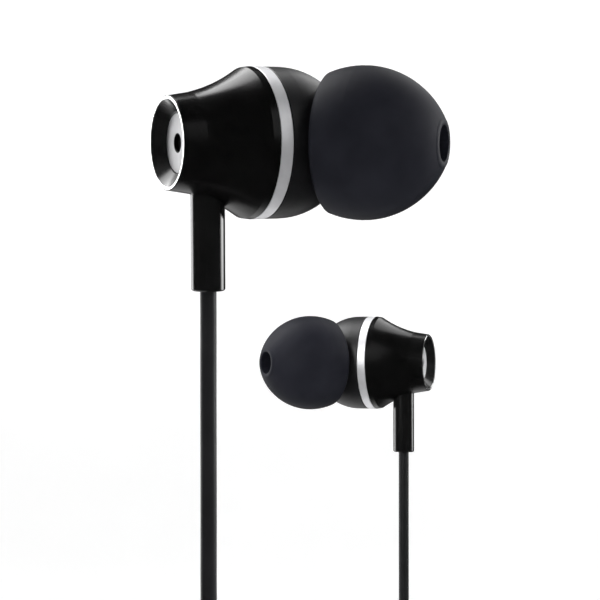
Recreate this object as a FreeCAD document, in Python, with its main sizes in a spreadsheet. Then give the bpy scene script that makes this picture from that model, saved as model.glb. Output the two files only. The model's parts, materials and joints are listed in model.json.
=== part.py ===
"""Wired in-ear earphones, modelled as an assembly of separate pieces.

Frame: millimetres, +Z up.  The origin is the middle of the widest section of the right ear tip,
where the ear holds the set.  The buds are turned as they hang, and the cords hang below them.

Each bud has an axis of its own: its local X runs from the rear face to the front, and local Z is
up.  The nozzle leaves the round front of the housing at an angle, in the local XY plane.  The left
bud is the mirror image of the right one.
"""
import math
import os

import FreeCAD
import Part
import Sketcher
from FreeCAD import Placement, Rotation, Vector

# Driving dimensions, in millimetres and degrees.
SIZES = {
    # housing, measured along the bud's axis from its rear face
    "rear_length": 7.2,
    "bud_radius": 6.25,
    "rim_radius": 3.8,
    "flare_start": 1.9,
    "flare_start_radius": 4.09,
    "flare_end": 6.6,
    "flare_end_radius": 6.17,
    "flare_curve": 13.9,
    "rim_edge": 0.1,
    "edge": 0.08,
    "ring_width": 1.12,
    "ball_centre": 9.7,
    "spigot_radius": 5.45,
    "spigot_start": 6.3,
    # rear bezel and vent
    "bezel_radius": 3.62,
    "bezel_depth": 1.55,
    "recess_depth": 0.96,
    "recess_mouth": 3.56,
    "disc_radius": 2.45,
    "disc_thickness": 0.35,
    "vent_radius": 0.72,
    "felt_radius": 1.9,
    # nozzle and ear tip, measured along the nozzle's axis from the ball's centre
    "nozzle_radius": 2.2,
    "nozzle_bore": 1.5,
    "nozzle_end": 11.45,
    "barb_radius": 2.45,
    "barb_start": 9.65,
    "tip_bore": 2.5,
    "tip_start": 5.06,
    "tip_widest": 7.66,
    "tip_radius": 6.25,
    "tip_mouth_radius": 5.78,
    "tip_shoulder": 11.96,
    "tip_shoulder_radius": 4.84,
    "tip_end": 14.26,
    "tip_end_radius": 2.1,
    "sound_hole": 1.47,
    "tip_wall": 0.5,
    "tip_core_radius": 3.1,
    "tip_core_start": 7.15,
    # driver
    "driver_radius": 5.0,
    "yoke_radius": 3.5,
    "yoke_rear": 6.0,
    "yoke_bore": 2.95,
    "coil_outer": 2.82,
    "coil_inner": 2.64,
    "pole_radius": 2.5,
    "cone_plane": 9.2,
    "film": 0.1,
    # stem and cords
    "stem_at": 3.56,
    "stem_radius": 1.4,
    "stem_bore": 1.0,
    "stem_top": 3.7,
    "stem_end": 12.0,
    "bush_length": 4.0,
    "branch_diameter": 1.35,
    "trunk_diameter": 1.8,
    # put-away hanks: length of the straight runs
    "right_run": 20.25,
    "left_run": 24.0,
    "trunk_run": 27.0,
    "tie_width": 5.0,
    "tie_wall": 0.7,
    "tie_corner": 3.0,
    # terminal board and wires
    "board_thickness": 0.35,
    "board_width": 3.0,
    "board_height": 1.4,
    "wire_diameter": 0.25,
    # plug and cord splitter
    "jack_radius": 1.75,
    "jack_length": 14.0,
    "shell_radius": 3.4,
    "shell_length": 13.0,
    "boot_length": 9.0,
    "split_length": 12.0,
    "split_radius": 2.5,
}

# How the buds hang: yaw of the bud's axis, lean of the stem, angle of the nozzle.
NOZZLE_ANGLE = 46.8
RIGHT_YAW = 26.6
RIGHT_LEAN = 6.0
LEFT_YAW = 161.45
LEFT_LEAN = -2.2
LEFT_RING_OFFSET = Vector(13.7395, 80.4923, -21.4035)

# The hanks hang side by side, one behind the other along Y, in one tie.
HANK_CENTRE = Vector(-1.7, 43.0, -114.0)
RIGHT_HANK_Y = 38.85
LEFT_HANK_Y = 47.15

# Where the cord splitter and the plug hang.
SPLIT_TOP = Vector(4.5, 37.0, -150.0)
PLUG_TOP = Vector(6.2, 46.3, -143.0)

# Routes of the free cords below the stems, chosen by hand.
RIGHT_BRANCH_ROUTE = [
    (-12.679, 1.39, -14.2),
    (-12.7, 1.5, -19.2),
    (-12.67, 1.45, -29.2),
    (-12.7, 1.7, -40.0),
    (-12.4, 3.5, -53.0),
    (-11.5, 10.5, -68.0),
    (-9.9, 20.5, -80.5),
    (-8.2, 31.0, -91.0),
    (-7.2, 37.4, -99.0),
    (-7.1, 38.175, -106.0),
]
LEFT_BRANCH_ROUTE = [
    (8.798, 80.375, -35.4),
    (8.78, 80.33, -40.2),
    (8.8, 80.4, -50.0),
    (8.78, 80.1, -60.0),
    (8.3, 77.2, -70.0),
    (7.0, 70.0, -80.0),
    (5.4, 61.2, -88.5),
    (4.2, 53.0, -94.5),
    (3.75, 48.7, -99.5),
    (3.7, 47.825, -105.0),
]
RIGHT_TAIL_ROUTE = [
    (-7.1, 39.525, -122.0),
    (-6.9, 39.2, -128.0),
    (-4.4, 38.3, -134.0),
    (-0.4, 37.3, -139.2),
    (3.4, 36.5, -144.0),
    (4.5, 36.2, -150.0),
    (4.5, 36.2, -155.0),
]
LEFT_TAIL_ROUTE = [
    (3.7, 46.475, -125.0),
    (3.6, 46.85, -131.0),
    (3.3, 46.8, -137.0),
    (3.6, 43.9, -142.0),
    (4.2, 39.6, -145.0),
    (4.5, 37.9, -150.0),
    (4.5, 37.8, -155.0),
]
TRUNK_LEAD_ROUTE = [
    (4.5, 37.0, -158.5),
    (4.5, 37.05, -167.5),
    (-3.1, 39.1, -172.1),
    (-10.7, 41.2, -167.5),
    (-10.5, 41.3, -150.5),
    (-10.7, 41.2, -135.0),
    (-10.7, 41.2, -126.0),
]
TRUNK_TAIL_ROUTE = [
    (5.5, 44.8, -124.6),
    (5.5, 44.85, -131.0),
    (5.9, 45.6, -137.5),
    (6.2, 46.3, -143.5),
    (6.2, 46.3, -149.4),
]

doc = FreeCAD.newDocument("earphones")
sheet = doc.addObject("Spreadsheet::Sheet", "Sheet")
for row, (alias, value) in enumerate(SIZES.items(), start=1):
    sheet.set(f"A{row}", alias)
    sheet.set(f"B{row}", str(value))
    sheet.setAlias(f"B{row}", alias)
doc.recompute()

X_AXIS = Vector(1, 0, 0)
Y_AXIS = Vector(0, 1, 0)
Z_AXIS = Vector(0, 0, 1)
NODES = []


class Size:
    """A number together with the sheet expression that gives it."""

    def __init__(self, value, text):
        self.value = value
        self.text = text

    def __add__(self, other):
        other = as_size(other)
        return Size(self.value + other.value, f"({self.text} + {other.text})")

    def __sub__(self, other):
        other = as_size(other)
        return Size(self.value - other.value, f"({self.text} - {other.text})")

    def __rsub__(self, other):
        return as_size(other) - self

    def __neg__(self):
        return Size(-self.value, f"(-{self.text})")

    def __mul__(self, factor):
        return Size(self.value * factor, f"({self.text} * {factor})")


def as_size(number):
    """A plain number as a Size; a Size stays as it is."""
    if isinstance(number, Size):
        return number
    return Size(float(number), f"{float(number)}")


def dim(alias):
    """The sheet's dimension of that name."""
    return Size(float(sheet.get(alias)), f"Sheet.{alias}")


def mm(alias):
    """The sheet's dimension of that name as a plain number."""
    return float(sheet.get(alias))


# ---------------------------------------------------------------- sketches and solids

def origin_plane(body, role):
    """One of a body's own origin planes or axes."""
    for feature in body.Origin.OriginFeatures:
        if feature.Role == role:
            return feature
    raise RuntimeError(f"{body.Label} has no {role}")


def new_body(label, place):
    """An empty body with its label and placement."""
    body = doc.addObject("PartDesign::Body", label)
    body.Label = label
    body.Placement = place
    return body


def new_sketch(body, role="XZ_Plane"):
    """A sketch on one of the body's origin planes."""
    sketch = body.newObject("Sketcher::SketchObject", f"{body.Name}_sketch")
    sketch.AttachmentSupport = [(origin_plane(body, role), "")]
    sketch.MapMode = "FlatFace"
    return sketch


def arc_between(start, end, radius):
    """Arc from start to end; a positive radius bulges to the left of the way from start to end."""
    chord = end - start
    half = chord.Length / 2
    left = Vector(-chord.y, chord.x, 0).normalize()
    side = math.copysign(1, radius)
    sagitta = abs(radius) - math.sqrt(max(radius ** 2 - half ** 2, 0))
    middle = (start + end) * 0.5 + left * (side * sagitta)
    if side > 0:
        return Part.Arc(end, middle, start)
    return Part.Arc(start, middle, end)


def pin(sketch, element, end, axis, value):
    """Tie one coordinate of an element's start (1), end (2) or centre (3) to the sheet."""
    if abs(value.value) < 1e-9:
        line = -1 if axis == "DistanceY" else -2
        sketch.addConstraint(Sketcher.Constraint("PointOnObject", element, end, line))
        return
    index = sketch.addConstraint(Sketcher.Constraint(axis, -1, 1, element, end, value.value))
    sketch.setExpression(f"Constraints[{index}]", value.text)


def draw_outline(sketch, corners):
    """Closed outline: (x, y) starts a straight edge, (x, y, radius) starts an arc."""
    places = [(as_size(corner[0]), as_size(corner[1])) for corner in corners]
    points = [Vector(x.value, y.value, 0) for x, y in places]
    elements = []
    for index, corner in enumerate(corners):
        start = points[index]
        end = points[(index + 1) % len(points)]
        if len(corner) == 3:
            edge = arc_between(start, end, as_size(corner[2]).value)
        else:
            edge = Part.LineSegment(start, end)
        elements.append((sketch.addGeometry(edge, False), start, end))
    starts = [end_number(sketch, element, start) for element, start, _ in elements]
    for index, (element, _, end) in enumerate(elements):
        after = (index + 1) % len(elements)
        join = (element, 3 - starts[index], elements[after][0], starts[after])
        sketch.addConstraint(Sketcher.Constraint("Coincident", *join))
        for axis, value in zip(("DistanceX", "DistanceY"), places[index]):
            pin(sketch, element, starts[index], axis, value)
        if len(corners[index]) == 3:
            radius = as_size(corners[index][2])
            bend = sketch.addConstraint(Sketcher.Constraint("Radius", element, abs(radius.value)))
            sign = "" if radius.value > 0 else "-"
            sketch.setExpression(f"Constraints[{bend}]", f"{sign}{radius.text}")


def end_number(sketch, element, point):
    """1 or 2: which end of the element lies at the point."""
    edge = sketch.Geometry[element]
    first = edge.StartPoint.distanceToPoint(point)
    last = edge.EndPoint.distanceToPoint(point)
    return 1 if first < last else 2


def turned(label, place, corners):
    """A round piece: the outline (distance along X, radius) turned about the local X axis."""
    body = new_body(label, place)
    sketch = new_sketch(body)
    draw_outline(sketch, corners)
    turn = body.newObject("PartDesign::Revolution", f"{label}_turn")
    turn.Profile = sketch
    turn.ReferenceAxis = (sketch, ["H_Axis"])
    turn.Angle = 360
    return body


def tube(label, place, start, end, outer, inner):
    """A plain tube along local X."""
    corners = [(start, inner), (end, inner), (end, outer), (start, outer)]
    return turned(label, place, corners)


def disc(label, place, start, end, radius):
    """A plain disc along local X."""
    return turned(label, place, [(start, 0), (end, 0), (end, radius), (start, radius)])


def circle_pocket(body, role, centre, radius, depth, reverse=False):
    """Cut a round hole from an origin plane to a depth, and return the pocket."""
    sketch = new_sketch(body, role)
    x, y = (as_size(value) for value in centre)
    hole = sketch.addGeometry(Part.Circle(Vector(x.value, y.value, 0), Z_AXIS, as_size(radius).value))
    pin(sketch, hole, 3, "DistanceX", x)
    pin(sketch, hole, 3, "DistanceY", y)
    index = sketch.addConstraint(Sketcher.Constraint("Radius", hole, as_size(radius).value))
    sketch.setExpression(f"Constraints[{index}]", as_size(radius).text)
    pocket = body.newObject("PartDesign::Pocket", f"{body.Name}_hole")
    pocket.Profile = sketch
    pocket.Reversed = reverse
    pocket.setExpression("Length", as_size(depth).text)
    return pocket


def keep(piece):
    """Put a finished sub-part on the list of nodes."""
    NODES.append(piece)


# ---------------------------------------------------------------- routes of cords and wires

def route_wire(points):
    """Straight runs joined by tangent arcs as large as the runs allow; also the arcs' radii."""
    edges = []
    radii = []
    start = points[0]
    for before, corner, after in zip(points, points[1:], points[2:]):
        back = before - corner
        ahead = after - corner
        setback = 0.45 * min(back.Length, ahead.Length)
        back.normalize()
        ahead.normalize()
        half_turn = (math.pi - back.getAngle(ahead)) / 2
        radius = setback / math.tan(half_turn)
        middle = (back + ahead).normalize()
        inside = corner + middle * (radius / math.cos(half_turn) - radius)
        edges.append(Part.LineSegment(start, corner + back * setback).toShape())
        edges.append(Part.Arc(corner + back * setback, inside, corner + ahead * setback).toShape())
        start = corner + ahead * setback
        radii.append(radius)
    edges.append(Part.LineSegment(start, points[-1]).toShape())
    return Part.Wire(edges), radii


def swept(points, diameter):
    """A round cord along a route, with the route's radii and length."""
    wire, radii = route_wire(points)
    ring = Part.Circle(points[0], points[1] - points[0], diameter / 2).toShape()
    solid = wire.makePipeShell([Part.Wire([ring])], True, True)
    if solid.Volume < 0:
        solid.reverse()
    return solid, radii, wire.Length


def cord_tube(label, points, diameter):
    """A free cord's tube along its route, checked against its section times its length."""
    solid, radii, length = swept(points, diameter)
    ratio = solid.Volume / (math.pi * diameter ** 2 / 4 * length)
    text = ", ".join(f"{radius / diameter:.1f}" for radius in radii)
    print(f"{label}: length {length:.1f} mm, volume ratio {ratio:.4f}, radii in diameters {text}")
    if abs(ratio - 1) > 0.01:
        raise RuntimeError(f"{label} has the wrong volume")
    piece = doc.addObject("Part::Feature", label)
    piece.Label = label
    piece.Shape = solid
    piece.Placement = Placement()
    keep(piece)


# ---------------------------------------------------------------- one bud

def rear_housing(name, place):
    """Flared rear shell with the bezel's seat, the driver cavity and the stem's hole."""
    mouth = dim("bezel_radius")
    lip = dim("bezel_depth")
    ledge = mouth - 0.3
    corners = [
        (0, mouth),
        (0, dim("rim_radius") - dim("rim_edge")),
        (dim("rim_edge"), dim("rim_radius")),
        (dim("flare_start"), dim("flare_start_radius"), -dim("flare_curve")),
        (dim("flare_end"), dim("flare_end_radius")),
        (dim("rear_length"), dim("bud_radius")),
        (dim("rear_length"), dim("spigot_radius")),
        (dim("spigot_start"), dim("spigot_radius")),
        (dim("spigot_start"), dim("spigot_radius") - 0.35),
        (4.4, dim("flare_start_radius") + 0.05),
        (lip + 0.35, mouth - 0.1),
        (lip + 0.35, ledge),
        (lip, ledge),
        (lip, mouth),
    ]
    body = turned(f"{name}_rear_housing", place, corners)
    centre = (dim("stem_at"), 0)
    circle_pocket(body, "XY_Plane", centre, dim("stem_radius"), dim("bud_radius"))
    keep(body)


def rear_bezel(name, place):
    """Turned cup in the rear mouth: cone, seat for the vent disc, and flange."""
    seat = dim("recess_depth")
    flange = seat + dim("disc_thickness")
    corners = [
        (0, dim("recess_mouth")),
        (seat, dim("disc_radius") + 0.1),
        (seat, dim("disc_radius")),
        (flange, dim("disc_radius")),
        (flange, dim("felt_radius")),
        (dim("bezel_depth"), dim("felt_radius")),
        (dim("bezel_depth"), dim("bezel_radius")),
        (0, dim("bezel_radius")),
    ]
    keep(turned(f"{name}_rear_bezel", place, corners))


def rear_vent(name, place):
    """Vented disc at the bottom of the bezel and the felt damper behind it."""
    seat = dim("recess_depth")
    back = seat + dim("disc_thickness")
    chamfer = dim("edge")
    corners = [
        (seat, dim("vent_radius") + chamfer),
        (seat + chamfer, dim("vent_radius")),
        (back, dim("vent_radius")),
        (back, dim("disc_radius")),
        (seat + chamfer, dim("disc_radius")),
        (seat, dim("disc_radius") - chamfer),
    ]
    keep(turned(f"{name}_vent_disc", place, corners))
    keep(disc(f"{name}_vent_felt", place, back, dim("bezel_depth"), dim("felt_radius")))


def trim_ring(name, place):
    """Satin metal ring between the two housings."""
    start = dim("rear_length")
    end = start + dim("ring_width")
    outer = dim("bud_radius")
    edge = dim("edge")
    corners = [
        (start, dim("spigot_radius")),
        (end, dim("spigot_radius")),
        (end, outer - edge),
        (end - edge, outer),
        (start + edge, outer),
        (start, outer - edge),
    ]
    keep(turned(f"{name}_trim_ring", place, corners))


def front_housing(name, place, nozzle_place):
    """Ball-nosed front shell with its spigot, and the barbed nozzle that leaves it at an angle."""
    start = dim("rear_length") + dim("ring_width")
    centre = dim("ball_centre")
    ball = dim("bud_radius")
    shell = turned(f"{name}_front_ball", place, [
        (dim("spigot_start"), 0),
        (centre + ball, 0, -ball),
        (centre, ball),
        (start + dim("edge"), ball),
        (start, ball - dim("edge")),
        (start, dim("spigot_radius")),
        (dim("spigot_start"), dim("spigot_radius")),
    ])
    nozzle = turned(f"{name}_nozzle", nozzle_place, [
        (0, 0),
        (dim("nozzle_end"), 0),
        (dim("nozzle_end"), dim("nozzle_radius") - 0.1),
        (dim("barb_start") + 0.9, dim("barb_radius")),
        (dim("barb_start"), dim("barb_radius")),
        (dim("barb_start"), dim("nozzle_radius")),
        (ball + 0.5, dim("nozzle_radius")),
        (ball + 0.1, dim("nozzle_radius") + 0.7),
        (0, dim("nozzle_radius") + 0.7),
    ])
    seat = centre + 0.8
    hollow_ball = ball - 1.55
    cavity = turned(f"{name}_front_cavity", place, [
        (dim("spigot_start") - 1, 0),
        (dim("spigot_start") - 1, dim("driver_radius")),
        (seat, dim("driver_radius")),
        (seat, hollow_ball - 0.1, hollow_ball + 0.05),
        (centre + hollow_ball, 0),
    ])
    bore = turned(f"{name}_nozzle_bore", nozzle_place, [
        (0, 0),
        (dim("nozzle_end") + 1, 0),
        (dim("nozzle_end") + 1, dim("nozzle_bore") + 0.3),
        (dim("nozzle_end") - 0.3, dim("nozzle_bore") + 0.3),
        (dim("nozzle_end") - 0.3, dim("nozzle_bore")),
        (0, dim("nozzle_bore")),
    ])
    solid = doc.addObject("Part::Fuse", f"{name}_front_solid")
    solid.Base = shell
    solid.Tool = nozzle
    hollow = doc.addObject("Part::Fuse", f"{name}_front_hollow")
    hollow.Base = cavity
    hollow.Tool = bore
    housing = doc.addObject("Part::Cut", f"{name}_front_housing")
    housing.Base = solid
    housing.Tool = hollow
    housing.Label = f"{name}_front_housing"
    keep(housing)


def ear_tip(name, place):
    """Silicone tip: core over the nozzle's barb, and the skirt that springs from its nose."""
    mouth = dim("tip_start")
    widest = dim("tip_widest")
    nose = dim("tip_end")
    wall = dim("tip_wall")
    seat = dim("nozzle_end") + 0.1
    corners = [
        (mouth, dim("tip_mouth_radius") - wall),
        (mouth - 0.2, dim("tip_mouth_radius") - wall * 0.5),
        (mouth, dim("tip_mouth_radius"), 7.4),
        (widest, dim("tip_radius"), 7.2),
        (dim("tip_shoulder"), dim("tip_shoulder_radius"), 7.4),
        (nose, dim("tip_end_radius"), 0.6),
        (nose + 0.1, dim("sound_hole")),
        (seat, dim("sound_hole")),
        (seat, dim("tip_bore")),
        (dim("tip_core_start"), dim("tip_bore")),
        (dim("tip_core_start"), dim("tip_core_radius")),
        (seat - 0.6, dim("tip_core_radius"), -0.8),
        (dim("tip_shoulder") - 0.6, dim("tip_shoulder_radius") - wall, -5.7),
        (widest, dim("tip_radius") - wall, -7.0),
    ]
    keep(turned(f"{name}_ear_tip", place, corners))


def nozzle_filter(name, place):
    """Round screen in the counterbore at the nozzle's end."""
    end = dim("nozzle_end")
    keep(disc(f"{name}_nozzle_screen", place, end - 0.3, end - 0.1, dim("nozzle_bore") + 0.3))


def driver(name, place):
    """Moving-coil driver, facing forward: magnet system, basket, coil with its dome, and cover."""
    rear = dim("yoke_rear")
    front = rear + 2.6
    yoke = dim("yoke_radius")
    plane = dim("cone_plane")
    rim = dim("driver_radius")
    vent = 0.5
    keep(turned(f"{name}_driver_yoke", place, [
        (rear, vent),
        (rear + 0.5, vent),
        (rear + 0.5, dim("yoke_bore")),
        (front, dim("yoke_bore")),
        (front, yoke),
        (rear, yoke),
    ]))
    keep(tube(f"{name}_driver_magnet", place, rear + 0.5, rear + 2.0, dim("pole_radius") - 0.1, vent))
    keep(tube(f"{name}_driver_pole", place, rear + 2.0, front, dim("pole_radius"), vent))
    keep(turned(f"{name}_driver_basket", place, [
        (front - 0.5, yoke),
        (front, yoke),
        (front, rim - 0.4),
        (plane + dim("film"), rim - 0.4),
        (plane + dim("film"), rim),
        (front - 0.5, rim),
    ]))
    coil = dim("coil_outer")
    inner = dim("coil_inner")
    film = dim("film")
    keep(turned(f"{name}_voice_coil", place, [
        (rear + 1.6, inner),
        (plane, inner, 5.4),
        (plane + 0.7, 0),
        (plane + 0.7 + film, 0, -6.1),
        (plane + film, coil),
        (rear + 1.6, coil),
    ]))
    roll = coil + 0.15
    keep(turned(f"{name}_surround", place, [
        (plane + film, roll, -0.95),
        (plane + film, rim - 0.4),
        (plane + film, rim),
        (plane + film * 2, rim),
        (plane + film * 2, rim - 0.4, 0.95),
        (plane + film * 2, roll),
    ]))
    cover = turned(f"{name}_driver_cover", place, [
        (plane + film * 2, rim - 0.4),
        (plane + 1.1, rim - 0.4),
        (plane + 1.1, 0),
        (plane + 1.3, 0),
        (plane + 1.3, rim),
        (plane + film * 2, rim),
    ])
    hole = circle_pocket(cover, "YZ_Plane", (2.6, 0), 0.5, plane + 2.0, True)
    pattern = cover.newObject("PartDesign::PolarPattern", f"{name}_cover_holes")
    pattern.Originals = [hole]
    pattern.Axis = (origin_plane(cover, "X_Axis"), [""])
    pattern.Occurrences = 6
    pattern.Angle = 360
    cover.Tip = pattern
    keep(cover)


def terminal_board(name, place):
    """Small solder board on the rear of the yoke, and the two leads that rise to it."""
    thickness = mm("board_thickness")
    rear = mm("yoke_rear") - thickness
    board = doc.addObject("Part::Box", f"{name}_terminal_board")
    board.Label = f"{name}_terminal_board"
    board.setExpression("Length", "Sheet.board_thickness")
    board.setExpression("Width", "Sheet.board_width")
    board.setExpression("Height", "Sheet.board_height")
    corner = Vector(rear, -mm("board_width") / 2, -2.9)
    board.Placement = place * Placement(corner, Rotation())
    keep(board)
    solids = []
    for side in (-1, 1):
        route = [
            Vector(mm("stem_at"), 0.25 * side, -5.0),
            Vector(mm("stem_at"), 0.25 * side, -3.4),
            Vector(mm("stem_at") + 0.5, 0.5 * side, -2.5),
            Vector(rear, 0.8 * side, -2.3),
        ]
        solids.append(swept(route, mm("wire_diameter"))[0])
    leads = doc.addObject("Part::Feature", f"{name}_lead_wires")
    leads.Label = f"{name}_lead_wires"
    leads.Shape = Part.makeCompound(solids)
    leads.Placement = place
    keep(leads)


def stem(name, place):
    """Stem tube below the housing, the soft bush at its mouth, and the ferrule on the cord."""
    end = dim("stem_end")
    outer = dim("stem_radius")
    bore = dim("stem_bore")
    cord = dim("branch_diameter") * 0.5
    keep(turned(f"{name}_stem", place, [
        (dim("stem_top"), bore),
        (end, bore),
        (end, outer - 0.12),
        (end - 0.12, outer),
        (dim("stem_top"), outer),
    ]))
    keep(tube(f"{name}_cord_bush", place, end - dim("bush_length"), end - 0.1, bore, cord))
    ferrule = dim("stem_top") + 1.6
    keep(tube(f"{name}_cord_ferrule", place, ferrule, ferrule + 1.6, bore - 0.05, cord))


def bud(name, place, mirror):
    """All the pieces of one earpiece, and where its cord starts; mirror is 1 right and -1 left."""
    turn = Rotation(Z_AXIS, -mirror * NOZZLE_ANGLE)
    nozzle_place = place * Placement(Vector(mm("ball_centre"), 0, 0), turn)
    stem_place = place * Placement(Vector(mm("stem_at"), 0, 0), Rotation(Y_AXIS, 90))
    rear_bezel(name, place)
    rear_vent(name, place)
    rear_housing(name, place)
    trim_ring(name, place)
    front_housing(name, place, nozzle_place)
    nozzle_filter(name, nozzle_place)
    ear_tip(name, nozzle_place)
    driver(name, place)
    terminal_board(name, place)
    stem(name, stem_place)
    return place.multVec(Vector(mm("stem_at"), 0, -mm("stem_top") - 1.3))


# ---------------------------------------------------------------- cords, hanks, splitter, plug

def racetrack(run, radius):
    """Outline of a loop with two straight runs and two round folds, about the origin."""
    half = run * 0.5
    return [
        (-radius, -half),
        (-radius, half, radius),
        (0, half + radius, radius),
        (radius, half),
        (radius, -half, radius),
        (0, -half - radius, radius),
    ]


def padded(label, place, role, corners, depth):
    """A plate with the given outline, its thickness centred on the sketch plane."""
    body = new_body(label, place)
    sketch = new_sketch(body, role)
    draw_outline(sketch, corners)
    pad = body.newObject("PartDesign::Pad", f"{label}_pad")
    pad.Profile = sketch
    pad.Midplane = True
    pad.setExpression("Length", depth.text)
    return body


def window(body, role, corners, depth):
    """Cut an opening with the given outline right through a plate."""
    sketch = new_sketch(body, role)
    draw_outline(sketch, corners)
    pocket = body.newObject("PartDesign::Pocket", f"{body.Name}_window")
    pocket.Profile = sketch
    pocket.Midplane = True
    pocket.setExpression("Length", (depth * 2).text)


def hank(label, centre, run, diameter, layers, columns):
    """Outer shape of a folded hank: turns lie in layers outward and in columns side by side."""
    inner = diameter * 2.5
    outer = diameter * (2.5 + layers)
    depth = diameter * columns
    body = padded(label, Placement(centre, Rotation()), "XZ_Plane", racetrack(run, outer), depth)
    window(body, "XZ_Plane", racetrack(run, inner), depth)
    keep(body)


def rounded_box(half_x, half_y, radius):
    """Outline of a rectangle with round corners, about the origin."""
    return [
        (-half_x, half_y - radius, radius),
        (radius - half_x, half_y),
        (half_x - radius, half_y, radius),
        (half_x, half_y - radius),
        (half_x, radius - half_y, radius),
        (half_x - radius, -half_y),
        (radius - half_x, -half_y, radius),
        (-half_x, radius - half_y),
    ]


def hank_tie():
    """Strap round the waist of the three hanks."""
    half_x = dim("trunk_diameter") * 5.5 + 0.2
    half_y = dim("trunk_diameter") * 1.5 + dim("branch_diameter") * 2 + 0.4
    width = dim("tie_width")
    wall = dim("tie_wall")
    round_off = dim("tie_corner")
    place = Placement(HANK_CENTRE, Rotation())
    corners = rounded_box(half_x + wall, half_y + wall, round_off + wall)
    strap = padded("hank_tie", place, "XY_Plane", corners, width)
    window(strap, "XY_Plane", rounded_box(half_x, half_y, round_off), width)
    keep(strap)


def splitter():
    """Moulded splitter: two branch cords enter at the top and the trunk leaves at the bottom."""
    place = Placement(SPLIT_TOP, Rotation(Y_AXIS, 90))
    length = dim("split_length")
    outer = dim("split_radius")
    trunk = dim("trunk_diameter") * 0.5
    body = turned("cord_splitter", place, [
        (0, 0),
        (0, outer - 0.4),
        (0.4, outer),
        (length * 0.55, outer, 30.0),
        (length - 0.3, trunk + 0.9),
        (length, trunk + 0.6),
        (length, trunk),
        (length * 0.55, trunk),
        (length * 0.55, 0),
    ])
    for side in (-0.8, 0.8):
        circle_pocket(body, "YZ_Plane", (side, 0), dim("branch_diameter") * 0.5, length * 0.45, True)
    keep(body)


def plug():
    """Straight 3.5 mm stereo plug: ribbed boot, shell, three contacts and two insulators."""
    place = Placement(PLUG_TOP, Rotation(Y_AXIS, 90))
    trunk = dim("trunk_diameter") * 0.5
    boot_end = dim("boot_length")
    shell = dim("shell_radius")
    shoulder = boot_end + dim("shell_length")
    jack = dim("jack_radius")
    boot = turned("plug_boot", place, [
        (0, trunk),
        (0, trunk + 0.5),
        (0.3, trunk + 0.7),
        (boot_end, shell - 0.9),
        (boot_end + 1.5, shell - 0.9),
        (boot_end + 1.5, trunk),
    ])
    rib = new_sketch(boot)
    draw_outline(rib, [(1.2, trunk + 0.45), (1.8, trunk + 0.45), (1.8, shell), (1.2, shell)])
    groove = boot.newObject("PartDesign::Groove", "plug_boot_groove")
    groove.Profile = rib
    groove.ReferenceAxis = (rib, ["H_Axis"])
    groove.Angle = 360
    ribs = boot.newObject("PartDesign::LinearPattern", "plug_boot_ribs")
    ribs.Originals = [groove]
    ribs.Direction = (origin_plane(boot, "X_Axis"), [""])
    ribs.Length = 6.0
    ribs.Occurrences = 5
    boot.Tip = ribs
    keep(boot)
    keep(turned("plug_shell", place, [
        (boot_end, shell - 0.9),
        (boot_end, shell - 0.4),
        (boot_end + 0.4, shell),
        (shoulder - 0.5, shell),
        (shoulder, shell - 0.5),
        (shoulder, jack + 0.5),
        (shoulder - 1.5, jack + 0.5),
        (shoulder - 1.5, shell - 0.9),
    ]))
    ring_start = shoulder + 8.2
    tip_start = shoulder + 10.9
    collar = jack + 0.5
    keep(turned("jack_sleeve", place, [
        (shoulder - 3.5, 0.9),
        (ring_start - 0.5, 0.9),
        (ring_start - 0.5, jack),
        (shoulder, jack),
        (shoulder, collar),
        (shoulder - 1.5, collar),
        (shoulder - 1.5, shell - 1.0),
        (shoulder - 2.5, shell - 1.0),
        (shoulder - 2.5, jack - 0.35),
        (shoulder - 3.5, jack - 0.35),
    ]))
    keep(tube("jack_insulator_rear", place, ring_start - 0.5, ring_start, jack, 0.6))
    keep(tube("jack_ring", place, ring_start, tip_start - 0.5, jack, 0.6))
    keep(tube("jack_insulator_front", place, tip_start - 0.5, tip_start, jack, 0.4))
    end = shoulder + dim("jack_length")
    keep(turned("jack_tip", place, [
        (shoulder - 3.5, 0),
        (end, 0),
        (end - 0.12, 0.5),
        (end - 1.5, jack - 0.2),
        (end - 2.0, jack - 0.2),
        (end - 2.6, jack - 0.5),
        (tip_start, jack - 0.2),
        (tip_start, 0.4),
        (shoulder - 3.5, 0.4),
    ]))


def vectors(route):
    """A route's points as vectors."""
    return [Vector(*point) for point in route]


def cords(right_start, left_start):
    """The two branch cords, the trunk cord, and the hanks that hold the rest of their length."""
    branch = dim("branch_diameter")
    trunk = dim("trunk_diameter")
    right_centre = Vector(HANK_CENTRE.x, RIGHT_HANK_Y, HANK_CENTRE.z)
    left_centre = Vector(HANK_CENTRE.x, LEFT_HANK_Y, HANK_CENTRE.z)
    cord_tube("right_branch_cord", [right_start] + vectors(RIGHT_BRANCH_ROUTE), branch.value)
    cord_tube("left_branch_cord", [left_start] + vectors(LEFT_BRANCH_ROUTE), branch.value)
    hank("right_branch_hank", right_centre, dim("right_run"), branch, 2, 2)
    hank("left_branch_hank", left_centre, dim("left_run"), branch, 2, 2)
    cord_tube("right_branch_tail", vectors(RIGHT_TAIL_ROUTE), branch.value)
    cord_tube("left_branch_tail", vectors(LEFT_TAIL_ROUTE), branch.value)
    cord_tube("trunk_cord_lead", vectors(TRUNK_LEAD_ROUTE), trunk.value)
    hank("trunk_hank", HANK_CENTRE, dim("trunk_run"), trunk, 3, 3)
    cord_tube("trunk_cord_tail", vectors(TRUNK_TAIL_ROUTE), trunk.value)


# ---------------------------------------------------------------- assembly

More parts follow.
